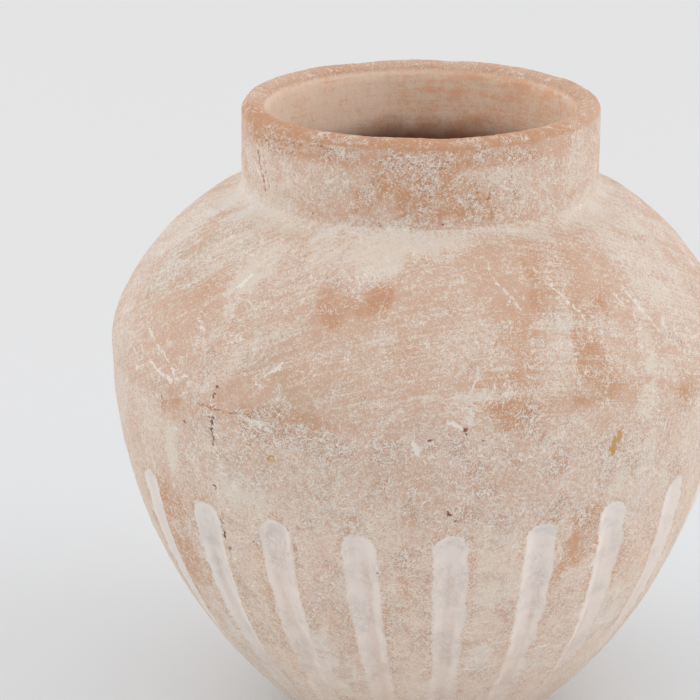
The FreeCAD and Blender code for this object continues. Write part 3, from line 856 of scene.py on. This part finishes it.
def clay_fields(r):
    """The places and noises that the layers of the washed clay share."""
    f = SimpleNamespace()
    f.spot = r.vector("SCALE", r.place(), scale=1 / MM)
    x, y, f.z = r.split(f.spot)
    turn = r.math("ARCTAN2", x, r.product(y, -1.0))
    f.round = (r.math("SINE", turn), r.math("COSINE", turn))
    f.cloud = r.uneven(f.spot, *CLOUD)
    f.blotch = r.uneven(f.spot, *BLOTCH)
    f.crumb = r.uneven(f.spot, *CRUMB)
    f.grain = r.uneven(f.spot, *GRAIN)
    f.where = r.uneven(f.spot, *WHERE)
    lift = r.math("ADD", r.product(f.round[0], BRUSH_LIFT_SIDE),
                  r.product(f.round[1], BRUSH_LIFT_FRONT))
    tilted = r.math("SUBTRACT", f.z, lift)
    lines = r.uneven(r.stretched(*f.round, tilted, 5.0, 1.0), *BRUSH_LINES)
    sweep = r.uneven(r.stretched(*f.round, tilted, 2.2, 0.1), *BRUSH_SWEEP)
    f.brushed = r.product(lines, r.read("stroke"))
    f.swept = r.product(sweep, r.read("stroke"))
    return f


def lime_wash(r, f):
    """Clay, warmer or greyer in patches, under the brushed wash and a thin pale veil."""
    warm = r.total(r.read("warm"), (f.blotch, 0.9), (f.cloud, 0.6), (f.crumb, 0.7))
    colour = r.blend(r.ramp(warm, 0.0, 0.8), CLAY, BARE_CLAY)
    grey = r.total(r.read("grey"), (f.blotch, 1.0))
    colour = r.blend(r.ramp(grey, 0.1, 0.9), colour, GREY_CLAY)
    lime = r.total(r.read("lime"), (f.blotch, 0.8), (f.cloud, 0.7), (f.crumb, 1.9),
                   (f.grain, 3.5), (f.brushed, 1.8), (f.swept, 1.5))
    colour = r.blend(r.ramp(lime, 0.0, 1.04), colour, LIME)
    pores = r.ramp(r.total(f.grain, (f.crumb, 0.5)), -0.1, -0.26)
    colour = r.blend(r.product(pores, 0.24), colour, WORN_CLAY)
    veil = r.total(r.read("veil"), (f.blotch, 0.8), (f.crumb, 1.2), (f.grain, 1.6))
    return r.blend(r.ramp(veil, 0.1, 1.0), colour, VEIL)


def crackle(r, f, colour):
    """Worm-like white crackle on worn clay, with flecks, veins and level cracks."""
    amount = r.ramp(r.total(r.read("worm"), (f.where, 2.6)), 0.1, 0.9)
    ridge = r.math("MAXIMUM", r.lines(f.spot, FINE_RIDGE, 0.04, 0.01),
                   r.lines(f.spot, BROAD_RIDGE, 0.018, 0.006))
    worm = r.product(ridge, amount)
    colour = r.blend(r.product(r.math("POWER", amount, 2.0), 0.45), colour, WORN_CLAY)
    flecks = r.product(r.ramp(r.total(f.grain, (f.crumb, 0.8)), 0.04, 0.14), 0.7)
    flecks = r.product(flecks, r.ramp(amount, -0.3, 0.9))
    colour = r.blend(r.math("MAXIMUM", r.product(worm, 0.92), flecks), colour, WHITE)
    vein = r.product(r.lines(f.spot, VEIN, 0.01, 0.003),
                     r.ramp(r.total(f.where, (f.blotch, 1.0)), -0.12, 0.04))
    level = r.lines(r.stretched(*f.round, f.z, 11.0, 0.13), LEVEL_CRACK, 0.016, 0.005)
    level = r.product(level, r.ramp(r.total(r.read("worm"), (f.where, -2.0)), 0.3, 0.7))
    colour = r.blend(r.product(r.math("MAXIMUM", vein, level), 0.7), colour, WHITE)
    return colour, worm


def flute_chalk(r, f, colour):
    """Chalky slip in the flutes, worn in stripes, with a painted highlight along their edges."""
    inside = r.total(r.read("chalk"), (f.grain, 1.4), (f.crumb, 2.2), (f.blotch, 3.0),
                     (f.where, 4.0))
    # Painted highlight: the chalk is made paler along both edges of each flute
    edge = r.product(r.ramp(inside, -0.6, 1.2), r.ramp(inside, 4.2, 1.8))
    streak = r.uneven(r.stretched(*f.round, f.z, 38.0, 0.03), *STREAK)
    worn = r.total(r.read("stripe"), (streak, 1.2), (f.crumb, 0.8), (f.blotch, 1.2))
    slip = r.blend(r.ramp(worn, 0.1, 0.9), CHALK, CHALK_BEIGE)
    slip = r.blend(r.product(edge, 0.7), slip, CHALK_EDGE_HIGHLIGHT)
    thin = r.ramp(r.total(f.z, (f.blotch, 90.0)), *CHALK_THINS, 0.35, 0.9)
    chalk = r.product(r.ramp(inside, -1.0, 0.3), thin)
    return r.blend(chalk, colour, slip), chalk


def mouth_clay(r, f):
    """The neck's inside, brushed round, with painted shade that deepens below."""
    # Painted shade: the mouth's inside darkens with depth
    depth = r.ramp(r.total(f.z, (f.cloud, 20.0)), *MOUTH_SHADE_HEIGHTS)
    arcs = r.uneven(r.stretched(*f.round, f.z, 3.0, 0.5), *ARCS)
    tone = r.total(f.cloud, (f.blotch, 1.6), (arcs, 1.3), (f.crumb, 0.9), (f.grain, 1.6),
                   (r.read("lime"), 1.0))
    colour = r.blend(r.ramp(tone, -0.34, 0.3), INSIDE, INSIDE_PALE)
    return r.blend(r.product(depth, 0.94), colour, INSIDE_PAINTED_SHADE)


def with_marks(r, f, colour):
    """Scratches, rust with the painted shade of a groove under the lip, ochre and pits, and the
    cover of the last ones, which are sunk.
    """
    for marks, ink, share, rough in MARKS:
        ragged = r.total(0.0, (f.crumb, 3.0 * rough), (f.grain, 2.0 * rough))
        cover = marked(r, f.spot, ragged, marks)
        colour = r.blend(r.product(cover, share), colour, ink)
    return colour, cover


def washed_clay(name):
    """Terracotta under a thin worn lime wash, with crackle, brush lines and chalky slip."""
    r = Recipe(bpy.data.materials.new(name))
    f = clay_fields(r)
    colour, worm = crackle(r, f, lime_wash(r, f))
    colour, chalk = flute_chalk(r, f, colour)
    colour = r.blend(r.product(r.read("rosy"), 0.14), colour, ROSY)
    colour = r.blend(r.read("inner"), colour, mouth_clay(r, f))
    colour, pits = with_marks(r, f, colour)
    rough = r.math("SUBTRACT", 1.0, r.product(chalk, 0.8))
    r.bump(r.total(0.0, (r.product(rough, f.grain), 1.0), (worm, 0.5), (f.brushed, 0.8),
                   (r.product(rough, f.crumb), 0.8), (pits, -0.45)), 0.8, 0.3 * MM)
    return r.surface(colour, r.ramp(r.total(f.grain, (f.blotch, 1.0)), -0.2, 0.2, 0.8, 0.97),
                     0.25)


def plain_clay(name):
    """Clay inside the jar, where no wash was brushed."""
    r = Recipe(bpy.data.materials.new(name))
    place = r.place()
    cloud = r.noise(place, 40.0, 5.0, 0.5, 0.6)
    grain = r.noise(place, 900.0, 3.0, 0.0, 0.7)
    r.bump(grain, 0.5, 0.25 * MM)
    return r.surface(r.blend(r.ramp(cloud, 0.3, 0.7), HIDDEN_DARK, HIDDEN_PALE),
                     r.ramp(grain, 0.2, 0.8, 0.85, 0.98), 0.2)


def make_jar():
    clay = washed_clay("washed_clay")
    hidden = plain_clay("plain_clay")
    build("base_dish_fired", dish_section(), "base_dish", clay, closed=False)
    build("lower_wall_fired", lower_section(), "lower_wall", clay)
    build("shoulder_wall_fired", shoulder_section(), "shoulder_wall", clay, HOLLOW)
    build("neck_slip_coil", coil_section(), "neck_luting_coil", clay, HOLLOW)
    build("neck_collar_fired", collar_section(), "neck_collar", clay)
    build("rim_lip_fired", lip_section(), "rim_lip", clay)
    for node in ("base_luting_coil", "belly_luting_coil"):
        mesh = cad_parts[node].data
        mesh.materials.clear()
        mesh.materials.append(hidden)


def make_floor():
    """A wide pale floor that fills the view, its colour falling off a little towards the camera as
    painted shade and painted lighter at the near right as a pool of light.
    """
    r = Recipe(bpy.data.materials.new("pale_floor"))
    x, y, _ = r.split(r.place())
    # Painted shade: the floor's colour falls off towards the camera
    far = r.ramp(y, *FLOOR_PAINTED_FALLOFF)
    # Painted light: a paler pool on the near right of the floor
    right = r.product(r.ramp(x, *FLOOR_SIDE_PAINTED_LIGHT), r.ramp(far, 1.0, 0.0))
    colour = r.blend(right, r.blend(far, FLOOR_NEAR, FLOOR_FAR), FLOOR_RIGHT_PAINTED_LIGHT)
    mesh = bpy.data.meshes.new("floor")
    corners = ((-1, -1), (1, -1), (1, 1), (-1, 1))
    mesh.from_pydata([(x * FLOOR_HALF, y * FLOOR_HALF, 0) for x, y in corners], [], [(0, 1, 2, 3)])
    mesh.materials.append(r.surface(colour, 0.9, 0.0))
    floor = bpy.data.objects.new("floor", mesh)
    bpy.context.scene.collection.objects.link(floor)


def direction(azimuth, rise):
    """Unit vector from the jar, with the azimuth counted from the camera."""
    a, e = math.radians(azimuth + CAMERA_AZIMUTH), math.radians(rise)
    return Vector((math.cos(a) * math.cos(e), math.sin(a) * math.cos(e), math.sin(e)))


def make_lamp(name, azimuth, rise, power):
    """A large soft lamp that looks at the jar's middle."""
    way = direction(azimuth, rise)
    data = bpy.data.lights.new(name, "AREA")
    data.size = LAMP_SIZE
    data.energy = power
    lamp = bpy.data.objects.new(name, data)
    lamp.location = Vector((0, 0, CAMERA_TARGET_Z)) + way * LAMP_DISTANCE
    lamp.rotation_euler = (-way).to_track_quat("-Z", "Y").to_euler()
    bpy.context.scene.collection.objects.link(lamp)


def make_light():
    """White studio surroundings, brighter from both sides and above than from the camera."""
    world = bpy.data.worlds.new("studio")
    bpy.context.scene.world = world
    r = Recipe(world)
    way = r.place("Generated")
    side = r.math("ABSOLUTE", r.vector("DOT_PRODUCT", way, direction(90, 0), 1))
    front = r.vector("DOT_PRODUCT", way, direction(0, 0), 1)
    above = r.vector("DOT_PRODUCT", way, Vector((0, 0, 1)), 1)
    level = r.total(WORLD_LEVEL, (r.ramp(side, *WORLD_SIDES), 1.0),
                    (r.ramp(above, *WORLD_ABOVE), 1.0), (r.ramp(front, *WORLD_FRONT), 1.0),
                    (r.ramp(above, *WORLD_HORIZON), 1.0))
    back = r.tree.nodes["Background"]
    back.inputs["Color"].default_value = (1, 1, 1, 1)
    r.put(back.inputs["Strength"], level)
    for name, (azimuth, rise, power) in LAMPS.items():
        make_lamp(name, azimuth, rise, power)


def make_camera():
    """The camera stands where the photograph was taken and looks a little past the jar."""
    data = bpy.data.cameras.new("camera")
    data.lens = CAMERA_LENS
    data.sensor_width = CAMERA_SENSOR
    data.clip_end = CAMERA_CLIP
    camera = bpy.data.objects.new("camera", data)
    way = direction(0, CAMERA_RISE)
    camera.location = Vector((0, 0, CAMERA_TARGET_Z)) + way * CAMERA_DISTANCE
    camera.rotation_euler = (math.radians(90 - CAMERA_RISE), 0,
                             math.radians(CAMERA_AZIMUTH + 90 + CAMERA_PAN))
    bpy.context.scene.collection.objects.link(camera)
    bpy.context.scene.camera = camera


make_jar()
make_floor()
make_light()
make_camera()
bpy.context.scene.view_settings.view_transform = "Standard"
